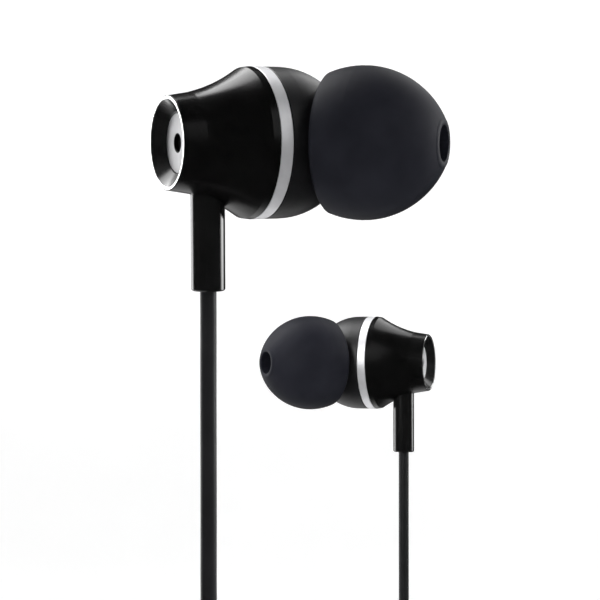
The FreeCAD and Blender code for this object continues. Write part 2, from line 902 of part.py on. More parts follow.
def bud_places():
    """Where the two buds hang: the right tip's widest section is at the origin."""
    right_turn = Rotation(X_AXIS, RIGHT_LEAN) * Rotation(Z_AXIS, RIGHT_YAW)
    left_turn = Rotation(X_AXIS, LEFT_LEAN) * Rotation(Z_AXIS, LEFT_YAW)
    nozzle = Rotation(Z_AXIS, -NOZZLE_ANGLE).multVec(Vector(mm("tip_widest"), 0, 0))
    tip_centre = Vector(mm("ball_centre"), 0, 0) + nozzle
    ring_centre = Vector(mm("rear_length") + mm("ring_width") / 2, 0, 0)
    right_base = -right_turn.multVec(tip_centre)
    right_ring = right_base + right_turn.multVec(ring_centre)
    left_base = right_ring + LEFT_RING_OFFSET - left_turn.multVec(ring_centre)
    return Placement(right_base, right_turn), Placement(left_base, left_turn)


def check_everything():
    """Stop if any object failed, or if any sub-part is empty or invalid."""
    doc.recompute()
    for item in doc.Objects:
        if "Invalid" in item.State or "Error" in item.State:
            raise RuntimeError(f"{item.Label} failed: {item.State}")
    for node in NODES:
        if node.Shape.isNull() or not node.Shape.isValid() or node.Shape.Volume <= 0:
            raise RuntimeError(f"{node.Label} has no valid shape")


def build():
    """Make every piece and write one file for each node."""
    right_place, left_place = bud_places()
    right_start = bud("right", right_place, 1)
    left_start = bud("left", left_place, -1)
    cords(right_start, left_start)
    hank_tie()
    splitter()
    plug()
    check_everything()
    os.makedirs("parts", exist_ok=True)
    for node in NODES:
        node.Shape.exportStep(f"parts/{node.Label}.step")
    print(f"{len(NODES)} nodes")


build()
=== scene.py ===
"""Wired in-ear earphones: looks, cords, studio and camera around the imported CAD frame."""

import json
import math

import bmesh
import bpy
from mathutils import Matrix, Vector


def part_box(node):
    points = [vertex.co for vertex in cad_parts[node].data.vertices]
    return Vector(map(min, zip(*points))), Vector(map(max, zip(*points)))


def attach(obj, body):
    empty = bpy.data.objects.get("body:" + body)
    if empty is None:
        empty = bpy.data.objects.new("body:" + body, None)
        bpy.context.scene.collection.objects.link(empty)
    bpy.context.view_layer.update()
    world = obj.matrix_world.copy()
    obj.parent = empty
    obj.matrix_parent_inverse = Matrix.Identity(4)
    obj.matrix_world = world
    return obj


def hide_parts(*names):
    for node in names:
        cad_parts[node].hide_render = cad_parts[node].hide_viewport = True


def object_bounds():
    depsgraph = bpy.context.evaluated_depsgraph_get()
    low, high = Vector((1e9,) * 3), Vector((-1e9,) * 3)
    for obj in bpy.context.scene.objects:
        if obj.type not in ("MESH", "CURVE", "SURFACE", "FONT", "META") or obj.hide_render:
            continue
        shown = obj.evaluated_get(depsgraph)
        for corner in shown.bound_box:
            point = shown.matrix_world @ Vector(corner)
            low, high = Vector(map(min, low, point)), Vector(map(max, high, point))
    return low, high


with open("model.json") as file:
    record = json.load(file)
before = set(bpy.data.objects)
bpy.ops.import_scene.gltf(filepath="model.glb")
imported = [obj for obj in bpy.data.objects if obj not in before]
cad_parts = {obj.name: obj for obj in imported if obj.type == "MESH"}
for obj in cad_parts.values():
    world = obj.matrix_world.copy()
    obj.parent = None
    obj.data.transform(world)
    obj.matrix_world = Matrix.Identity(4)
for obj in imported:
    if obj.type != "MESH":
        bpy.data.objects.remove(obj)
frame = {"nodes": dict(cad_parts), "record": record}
CAD_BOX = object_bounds()

ROOT = "earphones"
SIDES = ("right", "left")
MM = 0.001

# Cord sizes, in metres.
BRANCH_DIAMETER = 0.00135
TRUNK_DIAMETER = 0.0018

# The three hanks hang side by side: middle of each, and length of its straight runs.
HANK_X = -0.0017
HANK_Z = -0.114
RIGHT_HANK_Y = 0.03885
TRUNK_HANK_Y = 0.043
LEFT_HANK_Y = 0.04715
RIGHT_RUN = 0.02025
LEFT_RUN = 0.024
TRUNK_RUN = 0.027

# Free runs of the cords, between the buds, the hanks, the splitter and the plug.
RIGHT_BRANCH_ROUTE = [
    (-0.012679, 0.000419, -0.0049835),
    (-0.012679, 0.00139, -0.0142),
    (-0.0127, 0.0015, -0.0192),
    (-0.01267, 0.00145, -0.0292),
    (-0.0127, 0.0017, -0.040),
    (-0.0124, 0.0035, -0.053),
    (-0.0115, 0.0105, -0.068),
    (-0.0099, 0.0205, -0.0805),
    (-0.0082, 0.031, -0.091),
    (-0.0072, 0.0374, -0.099),
]
RIGHT_TAIL_ROUTE = [
    (-0.0069, 0.0392, -0.128),
    (-0.0044, 0.0383, -0.134),
    (-0.0004, 0.0373, -0.1392),
    (0.0034, 0.0365, -0.144),
    (0.0045, 0.0362, -0.150),
    (0.0045, 0.0362, -0.155),
]
LEFT_BRANCH_ROUTE = [
    (0.008798, 0.080732, -0.026163),
    (0.008798, 0.080375, -0.0354),
    (0.00878, 0.08033, -0.0402),
    (0.0088, 0.0804, -0.050),
    (0.00878, 0.0801, -0.060),
    (0.0083, 0.0772, -0.070),
    (0.0070, 0.0700, -0.080),
    (0.0054, 0.0612, -0.0885),
    (0.0042, 0.0530, -0.0945),
    (0.00375, 0.0487, -0.0995),
]
LEFT_TAIL_ROUTE = [
    (0.0036, 0.04685, -0.131),
    (0.0033, 0.0468, -0.137),
    (0.0036, 0.0439, -0.142),
    (0.0042, 0.0396, -0.145),
    (0.0045, 0.0379, -0.150),
    (0.0045, 0.0378, -0.155),
]
TRUNK_LEAD_ROUTE = [
    (0.0045, 0.0370, -0.1585),
    (0.0045, 0.03705, -0.1675),
    (-0.0031, 0.0391, -0.1721),
    (-0.0107, 0.0412, -0.1675),
    (-0.0105, 0.0413, -0.1505),
    (-0.0107, 0.0412, -0.135),
]
TRUNK_TAIL_ROUTE = [
    (0.0055, 0.04485, -0.131),
    (0.0059, 0.0456, -0.1375),
    (0.0062, 0.0463, -0.1435),
    (0.0062, 0.0463, -0.1494),
]


# ---------------------------------------------------------------- materials

# Middle of each bud's rear face, and the direction from there to its front.
AXES = {
    "right": ((-0.0158622, -0.001689, -0.0001775), (0.894154, 0.445306, 0.046804)),
    "left": ((0.0121728, 0.0797921, -0.0211231), (-0.948046, 0.317898, -0.012212)),
}

# Where a finish changes, in millimetres: depth behind the rear face, and radii from the bud's axis.
REAR_FACE = (0.02, 0.04)
SHELL_LIP = (3.58, 3.62)
BEZEL_EDGE = (3.50, 3.53)
# Radii inside which the vent's wall gets painted shade: its colour goes near black.
VENT_SHADE_RADII = (0.77, 0.81)

# Nodes with the name of a bud's side have its own finish; the others have this one.
COMMON = "common"


def grey(value):
    """A neutral colour."""
    return (value, value, value)


def darker(colour, share):
    """A colour times a share."""
    return tuple(value * share for value in colour)


def set_range(node, start, end, low, high):
    """Make a Map Range node take start to end onto low to high."""
    for key, value in (("From Min", start), ("From Max", end), ("To Min", low), ("To Max", high)):
        node.inputs[key].default_value = value


class Shader:
    """A node material with a principled shader, and short calls to add to it."""

    def __init__(self, name, **values):
        self.material = bpy.data.materials.new(name)
        self.material.use_nodes = True
        self.tree = self.material.node_tree
        self.shader = self.tree.nodes["Principled BSDF"]
        self.place = self.tree.nodes.new("ShaderNodeTexCoord").outputs["Object"]
        for key, value in values.items():
            self.shader.inputs[key.replace("_", " ")].default_value = value

    def join(self, source, target):
        """Link two sockets."""
        self.tree.links.new(source, target)

    def noise(self, cell, detail=3.0, stretch=None):
        """Noise in object space, its cell in millimetres; stretch scales it along X, Y and Z."""
        made = self.tree.nodes.new("ShaderNodeTexNoise")
        made.inputs["Scale"].default_value = 1 / (cell * MM)
        made.inputs["Detail"].default_value = detail
        place = self.vector("MULTIPLY", self.place, stretch)["Vector"] if stretch else self.place
        self.join(place, made.inputs["Vector"])
        return made.outputs["Fac"]

    def math(self, operation, first, second=0.0):
        """One Math node; either value may be a socket or a number."""
        made = self.tree.nodes.new("ShaderNodeMath")
        made.operation = operation
        for value, target in zip((first, second), made.inputs):
            if isinstance(value, (int, float)):
                target.default_value = value
            else:
                self.join(value, target)
        return made.outputs["Value"]

    def spread(self, source, low, high, start=0.0, end=1.0):
        """Map start to end onto low to high."""
        made = self.tree.nodes.new("ShaderNodeMapRange")
        set_range(made, start, end, low, high)
        self.join(source, made.inputs["Value"])
        return made.outputs["Result"]

    def ramp(self, source, stops):
        """Colours along a value."""
        made = self.tree.nodes.new("ShaderNodeValToRGB")
        elements = made.color_ramp.elements
        while len(elements) < len(stops):
            elements.new(0.5)
        for element, (position, colour) in zip(elements, stops):
            element.position = position
            element.color = (*colour, 1)
        self.join(source, made.inputs["Fac"])
        return made.outputs["Color"]

    def mix(self, share, first, second):
        """Blend two colours, each a socket or a colour."""
        made = self.tree.nodes.new("ShaderNodeMix")
        made.data_type = "RGBA"
        self.join(share, made.inputs["Factor"])
        for value, target in ((first, made.inputs[6]), (second, made.inputs[7])):
            if isinstance(value, tuple):
                target.default_value = (*value, 1)
            else:
                self.join(value, target)
        return made.outputs[2]

    def vector(self, operation, first, second=None):
        """One Vector Math node on a socket and, where given, a constant vector."""
        made = self.tree.nodes.new("ShaderNodeVectorMath")
        made.operation = operation
        self.join(first, made.inputs[0])
        if second:
            made.inputs[1].default_value = second
        return made.outputs

    def on_axis(self, side):
        """Millimetres along a bud's axis from its rear face, and millimetres out from that axis."""
        base, axis = AXES[side]
        offset = self.vector("SUBTRACT", self.place, base)["Vector"]
        along = self.vector("DOT_PRODUCT", offset, axis)["Value"]
        across = self.vector("CROSS_PRODUCT", offset, axis)["Vector"]
        out = self.vector("LENGTH", across)["Value"]
        return self.math("MULTIPLY", along, 1 / MM), self.math("MULTIPLY", out, 1 / MM)

    def apart(self):
        """The place's X, Y and Z, in metres."""
        made = self.tree.nodes.new("ShaderNodeSeparateXYZ")
        self.join(self.place, made.inputs["Vector"])
        return made.outputs

    def crossed(self, first, second, pitch):
        """Crossed threads, 0 to 1, along two distances in metres, their pitch in millimetres."""
        turns = 2 * math.pi / (pitch * MM)
        waves = [self.math("SINE", self.math("MULTIPLY", way, turns)) for way in (first, second)]
        return self.spread(self.math("MULTIPLY", *waves), 0.0, 1.0, -1.0, 1.0)

    def lines(self, distance, pitch, depth, wander=0.0):
        """Fine parallel marks along a distance, as a bump; all sizes are in millimetres."""
        phase = self.math("MULTIPLY", distance, 2 * math.pi / pitch)
        if wander:
            phase = self.math("ADD", phase, self.spread(self.noise(pitch * 9), -wander, wander))
        wave = self.spread(self.math("SINE", phase), 0.0, 1.0, -1.0, 1.0)
        self.bump(wave, depth)
        return wave

    def bump(self, source, depth):
        """Add a bump from a height between 0 and 1, its depth in millimetres."""
        made = self.tree.nodes.new("ShaderNodeBump")
        made.inputs["Strength"].default_value = 1.0
        made.inputs["Distance"].default_value = depth * MM
        normal = self.shader.inputs["Normal"]
        if normal.links:
            self.join(normal.links[0].from_socket, made.inputs["Normal"])
        self.join(source, made.inputs["Height"])
        self.join(made.outputs["Normal"], normal)

    def colour(self, source):
        """Link the base colour."""
        self.join(source, self.shader.inputs["Base Color"])

    def rough(self, source):
        """Link the roughness."""
        self.join(source, self.shader.inputs["Roughness"])

    def metal(self, source):
        """Link the metallic weight."""
        self.join(source, self.shader.inputs["Metallic"])


def moulded(name, dark, light, rough, grain, depth, **values):
    """Moulded plastic or rubber: broad colour drift, a fine even grain and faint smudges."""
    made = Shader(name, **values)
    made.colour(made.ramp(made.noise(2.5), [(0.35, dark), (0.65, light)]))
    fine = made.noise(grain, 2.0)
    smudge = made.noise(3.5, 4.0)
    share = made.spread(smudge, 0.85, 1.15, 0.3, 0.7)
    made.rough(made.math("MULTIPLY", share, made.spread(fine, *rough)))
    made.bump(fine, depth)
    return made.material


def turned_metal(name, side, tone, rough, pitch, depth, **values):
    """Lathe-turned metal: marks around the bud's axis, and a soft mottle."""
    made = Shader(name, **{"Metallic": 1.0, **values})
    along, _ = made.on_axis(side)
    marks = made.lines(along, pitch, depth, 0.8)
    mottle = made.noise(1.2, 4.0)
    base = made.ramp(mottle, [(0.3, darker(tone, 0.9)), (0.7, tone)])
    made.colour(made.mix(made.spread(marks, 0.0, 0.18), base, darker(tone, 0.55)))
    made.rough(made.spread(made.noise(0.25), *rough))
    made.bump(made.noise(0.06, 2.0), depth * 0.6)
    return made.material


def gloss_shell(side):
    """Gloss black rear shell with the bare bright edge cut around its rear mouth."""
    made = Shader(f"rear_shell_{side}", Specular_IOR_Level=0.22)
    along, out = made.on_axis(side)
    at_rear = made.spread(along, 1.0, 0.0, *REAR_FACE)
    at_lip = made.spread(out, 0.0, 1.0, *SHELL_LIP)
    edge = made.math("MULTIPLY", at_rear, at_lip)
    paint_tone = made.ramp(made.noise(2.0), [(0.35, grey(0.0018)), (0.65, grey(0.0028))])
    made.colour(made.mix(edge, paint_tone, grey(0.85)))
    made.metal(edge)
    orange_peel = made.noise(0.5, 2.0)
    made.bump(orange_peel, 0.0012)
    smudge = made.noise(3.0, 5.0)
    paint_rough = made.spread(smudge, 0.19, 0.27, 0.3, 0.7)
    made.rough(made.math("SUBTRACT", paint_rough, made.math("MULTIPLY", edge, 0.08)))
    return made.material


def bezel_cup(side):
    """Gloss black cone in the rear mouth with faint turning marks, and its bright cut edge."""
    made = Shader(f"bezel_{side}", Specular_IOR_Level=0.35)
    along, out = made.on_axis(side)
    edge = made.spread(out, 0.0, 1.0, *BEZEL_EDGE)
    tone = made.ramp(made.noise(1.5), [(0.35, grey(0.004)), (0.65, grey(0.007))])
    made.colour(made.mix(edge, tone, grey(0.85)))
    made.metal(edge)
    made.rough(made.spread(made.noise(0.8, 4.0), 0.2, 0.28))
    made.lines(along, 0.07, 0.0006, 0.5)
    return made.material


def silicone():
    """Soft blue-black silicone: matte, with a light bloom and very fine grain."""
    made = Shader("silicone", Specular_IOR_Level=0.06)
    bloom = made.noise(3.2, 5.0)
    dark = (0.0085, 0.0090, 0.0130)
    light = (0.0125, 0.0130, 0.0180)
    made.colour(made.ramp(bloom, [(0.3, dark), (0.7, light)]))
    fine = made.noise(0.07, 2.0)
    made.rough(made.math("MULTIPLY", made.spread(bloom, 0.92, 1.06), made.spread(fine, 0.52, 0.62)))
    made.bump(fine, 0.004)
    made.bump(made.noise(1.4, 3.0), 0.006)
    return made.material


def cord_jacket():
    """Matte rubbery cord jacket: faint drawn lines along it and a fine grain."""
    made = Shader("cord_jacket", Specular_IOR_Level=0.2)
    drawn = made.noise(0.12, 3.0, (1.0, 1.0, 0.08))
    dark = (0.0085, 0.0085, 0.0095)
    light = (0.012, 0.012, 0.0135)
    made.colour(made.ramp(made.noise(4.0), [(0.3, dark), (0.7, light)]))
    fine = made.noise(0.09, 2.0)
    made.rough(made.math("MULTIPLY", made.spread(drawn, 0.9, 1.1), made.spread(fine, 0.44, 0.54)))
    made.bump(drawn, 0.004)
    made.bump(fine, 0.005)
    return made.material


def vent_disc(side):
    """Silver disc: fine concentric turning marks, and painted shade on the wall inside the vent, a
    near-black colour there.
    """
    made = Shader(f"vent_disc_{side}", Metallic=1.0)
    _, out = made.on_axis(side)
    marks = made.lines(out, 0.045, 0.0009, 0.6)
    base = made.ramp(made.noise(0.9, 4.0), [(0.3, (0.51, 0.51, 0.52)), (0.7, (0.57, 0.57, 0.58))])
    tone = made.mix(made.spread(marks, 0.0, 0.12), base, grey(0.40))
    # Painted shade: inside the vent the silver gives way to near black, standing in for the shade
    # in the hole.
    vent_shade = made.spread(out, 1.0, 0.0, *VENT_SHADE_RADII)
    made.colour(made.mix(vent_shade, tone, grey(0.012)))
    made.rough(made.spread(made.noise(0.2), 0.5, 0.6))
    return made.material


def felt():
    """Grey damping felt: matted fibres."""
    made = Shader("felt", Specular_IOR_Level=0.1)
    fibres = made.noise(0.08, 6.0, (1.0, 0.4, 1.0))
    made.colour(made.ramp(fibres, [(0.3, grey(0.002)), (0.7, grey(0.008))]))
    made.rough(made.spread(fibres, 0.85, 1.0))
    made.bump(fibres, 0.05)
    return made.material


def woven(name, dark, light, pitch):
    """Woven strap: two crossed sets of threads, pitch in millimetres."""
    made = Shader(name, Sheen_Weight=0.3, Sheen_Roughness=0.4)
    place = made.apart()
    weave = made.crossed(made.math("ADD", place["X"], place["Y"]), place["Z"], pitch)
    fuzz = made.noise(pitch * 0.4, 5.0)
    height = made.math("ADD", weave, made.math("MULTIPLY", fuzz, 0.6))
    made.colour(made.ramp(made.math("MULTIPLY", height, 0.6), [(0.2, dark), (0.8, light)]))
    made.rough(made.spread(fuzz, 0.75, 0.95))
    made.bump(height, pitch * 0.2)
    return made.material


def filter_screen(side):
    """Fine wire gauze in the nozzle's mouth."""
    made = Shader(f"screen_{side}", Metallic=1.0)
    place = made.apart()
    gauze = made.crossed(place["Y"], place["Z"], 0.22)
    made.colour(made.ramp(gauze, [(0.25, grey(0.03)), (0.6, grey(0.38))]))
    made.rough(made.spread(made.noise(0.1), 0.35, 0.5))
    made.bump(gauze, 0.03)
    return made.material


def winding(side):
    """Copper voice coil: one turn of wire beside the next, under a thin lacquer."""
    made = Shader(f"coil_{side}", Metallic=1.0, Coat_Weight=0.6, Coat_Roughness=0.15)
    along, _ = made.on_axis(side)
    turns = made.lines(along, 0.09, 0.03)
    made.colour(made.ramp(turns, [(0.1, (0.12, 0.035, 0.012)), (0.7, (0.62, 0.25, 0.10))]))
    made.rough(made.spread(made.noise(0.2), 0.25, 0.38))
    return made.material


def diaphragm(side):
    """Thin pale film with the fine ridges pressed into its edge."""
    made = Shader(f"film_{side}", Coat_Weight=0.4, Coat_Roughness=0.1)
    _, out = made.on_axis(side)
    made.lines(out, 0.3, 0.01)
    dark = (0.42, 0.40, 0.36)
    light = (0.52, 0.50, 0.46)
    made.colour(made.ramp(made.noise(1.2), [(0.3, dark), (0.7, light)]))
    made.rough(made.spread(made.noise(0.3), 0.18, 0.3))
    return made.material


def circuit_board():
    """Green solder mask over copper, with the weave of the glass cloth just showing."""
    made = Shader("board", Coat_Weight=0.5, Coat_Roughness=0.15)
    weave = made.noise(0.15, 2.0, (1.0, 3.0, 1.0))
    copper = made.noise(0.9, 1.0)
    made.colour(made.ramp(copper, [(0.45, (0.008, 0.075, 0.028)), (0.55, (0.02, 0.16, 0.05))]))
    made.rough(made.spread(weave, 0.3, 0.42))
    made.bump(weave, 0.01)
    return made.material


def sided(maker):
    """The right and the left version of a finish."""
    return {side: maker(side) for side in SIDES}


def both(material):
    """One finish for either side, and for what has no side."""
    return {side: material for side in (*SIDES, COMMON)}


def turned(name, *numbers, **values):
    """The right and the left version of a turned metal."""
    return sided(lambda side: turned_metal(f"{name}_{side}", side, *numbers, **values))


def common(name, *numbers, **values):
    """A moulded finish for either side, and for what has no side."""
    return both(moulded(name, *numbers, **values))


def materials():
    """All finishes by the record's slot names and the side.

    The numbers of a turned metal are its colour, roughness range, and the marks' pitch and depth.
    Those of a moulding are its two colours, roughness range, and the grain's cell and depth.
    """
    return {
        "rear_shell": sided(gloss_shell),
        "bezel": sided(bezel_cup),
        "vent_disc": sided(vent_disc),
        "felt": both(felt()),
        "trim_ring": turned(
            "trim_ring", (0.76, 0.76, 0.78), (0.4, 0.48), 0.05, 0.001, Metallic=0.65),
        "front_shell": common(
            "front_shell", (0.005, 0.005, 0.006), (0.0075, 0.0075, 0.0088), (0.36, 0.46), 0.09,
            0.006, Specular_IOR_Level=0.36),
        "screen": sided(filter_screen),
        "silicone": both(silicone()),
        "steel": turned("steel", (0.55, 0.56, 0.58), (0.25, 0.38), 0.12, 0.002),
        "magnet": turned("magnet", (0.62, 0.60, 0.56), (0.14, 0.26), 0.3, 0.0008),
        "basket": common("basket", grey(0.012), grey(0.02), (0.38, 0.5), 0.12, 0.01),
        "coil": sided(winding),
        "film": sided(diaphragm),
        "board": both(circuit_board()),
        "wire": common(
            "wire", (0.30, 0.05, 0.03), (0.42, 0.09, 0.05), (0.22, 0.34), 0.1, 0.003,
            Coat_Weight=0.5),
        "stem": common(
            "stem", grey(0.0035), grey(0.005), (0.13, 0.19), 0.3, 0.0008, Specular_IOR_Level=0.5),
        "ferrule": turned("ferrule", (0.62, 0.48, 0.24), (0.25, 0.36), 0.15, 0.002),
        "cord_jacket": both(cord_jacket()),
        "strap": both(woven("strap", grey(0.008), grey(0.035), 0.5)),
        "moulding": common("moulding", grey(0.008), grey(0.012), (0.42, 0.54), 0.1, 0.008),
        "plug_shell": common("plug_shell", grey(0.0045), grey(0.0065), (0.16, 0.24), 0.3, 0.001),
        "gold": common(
            "gold", (0.72, 0.50, 0.20), (0.82, 0.60, 0.27), (0.16, 0.26), 0.12, 0.0015,
            Metallic=1.0),
        "insulator": common("insulator", grey(0.01), grey(0.016), (0.25, 0.36), 0.1, 0.002),
    }


def paint(obj, material):
    """Give a whole object one material."""
    obj.data.materials.clear()
    obj.data.materials.append(material)


def paint_frame(finishes):
    """Give each CAD node the finish of its slot."""
    slots = {entry["node"]: entry["material_slot"] for entry in frame["record"]["subparts"]}
    for node, obj in frame["nodes"].items():
        start = node.split("_")[0]
        paint(obj, finishes[slots[node]][start if start in SIDES else COMMON])


# ---------------------------------------------------------------- mesh pieces

def piece_from(mesh, name):
    """A linked object from a bmesh."""
    data = bpy.data.meshes.new(name)
    mesh.to_mesh(data)
    mesh.free()
    obj = bpy.data.objects.new(name, data)
    bpy.context.scene.collection.objects.link(obj)
    return obj


STRAP_WALL = 0.0007
STRAP_CORNER = 0.0033
STRAP_CORNER_STEPS = 8
STRAP_EDGE = 0.0002
STRAP_HEM = 0.0005
STRAP_START = 0.003

# The strap's last stretch, which lies over its start: places along the far face from its middle,
# and the lift there in thicknesses of the strap. The end is rounded over the last points.
STRAP_OVERLAP = (
    (0.0062, 0.0), (0.0054, 0.15), (0.0046, 0.5), (0.0038, 0.88), (0.003, 1.05), (0.0, 1.05),
    (-0.003, 1.05), (-0.0036, 1.05), (-0.0042, 1.05), (-0.0047, 1.05), (-0.0051, 1.05),
    (-0.0053, 1.05),
)
STRAP_ROUNDED = 7
STRAP_BLUNT = 0.12


def strap_path(low, high):
    """Places round a box's waist, each (x, y, outward x, outward y, lift)."""
    middle = (low + high) / 2
    half_x = (high.x - low.x) / 2 - STRAP_WALL / 2
    half_y = (high.y - low.y) / 2 - STRAP_WALL / 2
    flat_x = half_x - STRAP_CORNER
    flat_y = half_y - STRAP_CORNER
    path = [(middle.x + STRAP_START, middle.y + half_y, 0.0, 1.0, 0.0)]
    for corner, (side_x, side_y) in enumerate(((-1, 1), (-1, -1), (1, -1), (1, 1)), start=1):
        for step in range(STRAP_CORNER_STEPS + 1):
            turn = math.pi / 2 * (corner + step / STRAP_CORNER_STEPS)
            out_x = math.cos(turn)
            out_y = math.sin(turn)
            x = middle.x + side_x * flat_x + out_x * STRAP_CORNER
            y = middle.y + side_y * flat_y + out_y * STRAP_CORNER
            path.append((x, y, out_x, out_y, 0.0))
    for x, lift in STRAP_OVERLAP:
        path.append((middle.x + x, middle.y + half_y, 0.0, 1.0, lift * STRAP_WALL))
    return path


def strap_section(half_width):
    """A band's section, (outward, up): flat faces with a raised hem and round edges."""
    half = STRAP_WALL / 2
    hem = min(STRAP_HEM, half_width / 3)
    upper = [
        (half * 0.8, 0.0), (half * 0.8, half_width - 2 * hem), (half, half_width - 1.6 * hem),
        (half, half_width - 0.6 * hem), (half - STRAP_EDGE * 0.3, half_width - STRAP_EDGE * 0.3),
        (half - STRAP_EDGE, half_width),
    ]
    top = upper + [(-out, up) for out, up in reversed(upper)]
    return top + [(out, -up) for out, up in reversed(top[1:-1])]


def make_strap():
    """Woven hook-and-loop strap round the hanks, in place of its plain CAD ring."""
    low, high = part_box("hank_tie")
    full = (high.z - low.z) / 2
    level = (low.z + high.z) / 2
    path = strap_path(low, high)
    mesh = bmesh.new()
    rings = []
    end_x = path[-1][0]
    for index, (x, y, out_x, out_y, lift) in enumerate(path):
        to_end = abs(x - end_x) if index >= len(path) - STRAP_ROUNDED else full
        half_width = full * math.sqrt(max(STRAP_BLUNT, 1 - max(0.0, 1 - to_end / full) ** 2))
        ring = []
        for out, up in strap_section(half_width):
            reach = lift + out
            ring.append(mesh.verts.new((x + out_x * reach, y + out_y * reach, level + up)))
        rings.append(ring)
    for first, second in zip(rings, rings[1:]):
        for index in range(len(first)):
            after = (index + 1) % len(first)
            mesh.faces.new((first[index], first[after], second[after], second[index])).smooth = True
    mesh.faces.new(rings[0])
    mesh.faces.new(list(reversed(rings[-1])))
    bmesh.ops.recalc_face_normals(mesh, faces=mesh.faces)
    strap = piece_from(mesh, "strap")
    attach(strap, ROOT)
    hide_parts("hank_tie")
    return strap


# ---------------------------------------------------------------- cords

# Control points round each fold of a hank.
FOLD_CORNERS = 4


def hank_points(centre_y, run, lanes, first_leg, going_up):
    """Control points of a hank.

    Each of the lanes gives a leg's fold radius and its Y beside centre_y. The first leg is on the
    side first_leg of the middle, -1 or 1 along X, and the legs go up and down in turn.
    """
    points = []
    side = first_leg
    corner_step = math.pi / FOLD_CORNERS
    for index, (radius, shift) in enumerate(lanes):
        upward = 1 if going_up else -1
        inset = radius * math.tan(corner_step / 2)
        reach = run / 2 - inset
        for along in (-reach, 0.0, reach):
            points.append((HANK_X + side * radius, centre_y + shift, HANK_Z + upward * along))
        if index + 1 == len(lanes):
            break
        next_radius, next_shift = lanes[index + 1]
        for corner in range(FOLD_CORNERS):
            turn = corner_step * (corner + 0.5)
            part = turn / math.pi
            mean = (radius + (next_radius - radius) * part) / math.cos(corner_step / 2)
            across = side * mean * math.cos(turn)
            rise = upward * (run / 2 + mean * math.sin(turn))
            y = centre_y + shift + (next_shift - shift) * part
            points.append((HANK_X + across, y, HANK_Z + rise))
        side = -side
        going_up = not going_up
    return points


def cord_curve(name, points, diameter, material):
    """One open spline with a round section, smooth through its control points."""
    curve = bpy.data.curves.new(name, "CURVE")
    curve.dimensions = "3D"
    curve.bevel_depth = diameter / 2
    curve.bevel_resolution = 7
    curve.resolution_u = 8
    curve.use_fill_caps = True
    spline = curve.splines.new("NURBS")
    spline.points.add(len(points) - 1)
    for control, point in zip(spline.points, points):
        control.co = (*point, 1)
    spline.order_u = 3
    spline.use_endpoint_u = True
    obj = bpy.data.objects.new(name, curve)
    bpy.context.scene.collection.objects.link(obj)
    paint(obj, material)
    return obj


def in_and_out(diameter, inner, layers, columns):
    """Lanes of a hank, two legs to a turn: layers swing in and out from column to column.

    The innermost lane's fold radius is inner cord diameters.
    """
    lanes = []
    middle = (columns - 1) / 2
    order = list(reversed(range(layers)))
    for column in range(columns):
        for layer in order:
            lane = (diameter * (inner + layer), diameter * (column - middle))
            lanes += [lane, lane]
        order.reverse()
    return lanes


def flipped(lanes):
    """The same lanes with the columns on the other side."""
    return [(radius, -shift) for radius, shift in lanes]


def branch_lanes():
    """Seven legs, three turns and a half, in two layers and two columns."""
    return in_and_out(BRANCH_DIAMETER, inner=3, layers=2, columns=2)[:7]


def trunk_lanes():
    """Sixteen legs, eight turns, in three layers and three columns."""
    return in_and_out(TRUNK_DIAMETER, inner=3, layers=3, columns=3)[:16]


def make_cords(jacket):
    """The two branch cords and the trunk as curves, in place of the CAD cords, hanks and tails,
    which it hides.
    """
    right_hank = hank_points(RIGHT_HANK_Y, RIGHT_RUN, branch_lanes(), -1, False)
    left_hank = hank_points(LEFT_HANK_Y, LEFT_RUN, flipped(branch_lanes()), 1, False)
    trunk_hank = hank_points(TRUNK_HANK_Y, TRUNK_RUN, trunk_lanes(), -1, True)
    cords = {}
    for name, points, diameter in (
        ("right_cord", RIGHT_BRANCH_ROUTE + right_hank + RIGHT_TAIL_ROUTE, BRANCH_DIAMETER),
        ("left_cord", LEFT_BRANCH_ROUTE + left_hank + LEFT_TAIL_ROUTE, BRANCH_DIAMETER),
        ("trunk_cord", TRUNK_LEAD_ROUTE + trunk_hank + TRUNK_TAIL_ROUTE, TRUNK_DIAMETER),
    ):
        cords[name] = cord_curve(name, points, diameter, jacket)
        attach(cords[name], ROOT)
    for side in SIDES:
        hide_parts(f"{side}_branch_cord", f"{side}_branch_hank", f"{side}_branch_tail")
    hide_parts("trunk_cord_lead", "trunk_hank", "trunk_cord_tail")


# ---------------------------------------------------------------- studio

CAMERA_PLACE = (-0.005176, -0.1216, -0.01272)
LENS = 90.0
SENSOR = 36.0


def make_camera():
    """Level camera that looks along +Y."""
    data = bpy.data.cameras.new("camera")
    data.lens = LENS
    data.sensor_width = SENSOR
    data.clip_start = 0.005
    camera = bpy.data.objects.new("camera", data)
    camera.location = CAMERA_PLACE
    camera.rotation_euler = (math.pi / 2, 0, 0)
    bpy.context.scene.collection.objects.link(camera)
    bpy.context.scene.camera = camera


def softbox(name, place, aim, size, power, spread):
    """A rectangular area light that faces a point, its spread in degrees."""
    data = bpy.data.lights.new(name, "AREA")
    data.shape = "RECTANGLE"
    data.size, data.size_y = size
    data.energy = power
    data.spread = math.radians(spread)
    light = bpy.data.objects.new(name, data)
    light.location = place
    light.rotation_euler = (aim - place).to_track_quat("-Z", "Y").to_euler()
    light.visible_camera = False
    bpy.context.scene.collection.objects.link(light)


FLOOR_GAP = 0.02
FLOOR_RADIUS = 1.0
FLOOR_MIDDLE_Y = 0.04
BEND_RADIUS = 0.3
BEND_STEPS = 10
WALL_HEIGHT = 1.8
STAGE_SEGMENTS = 64


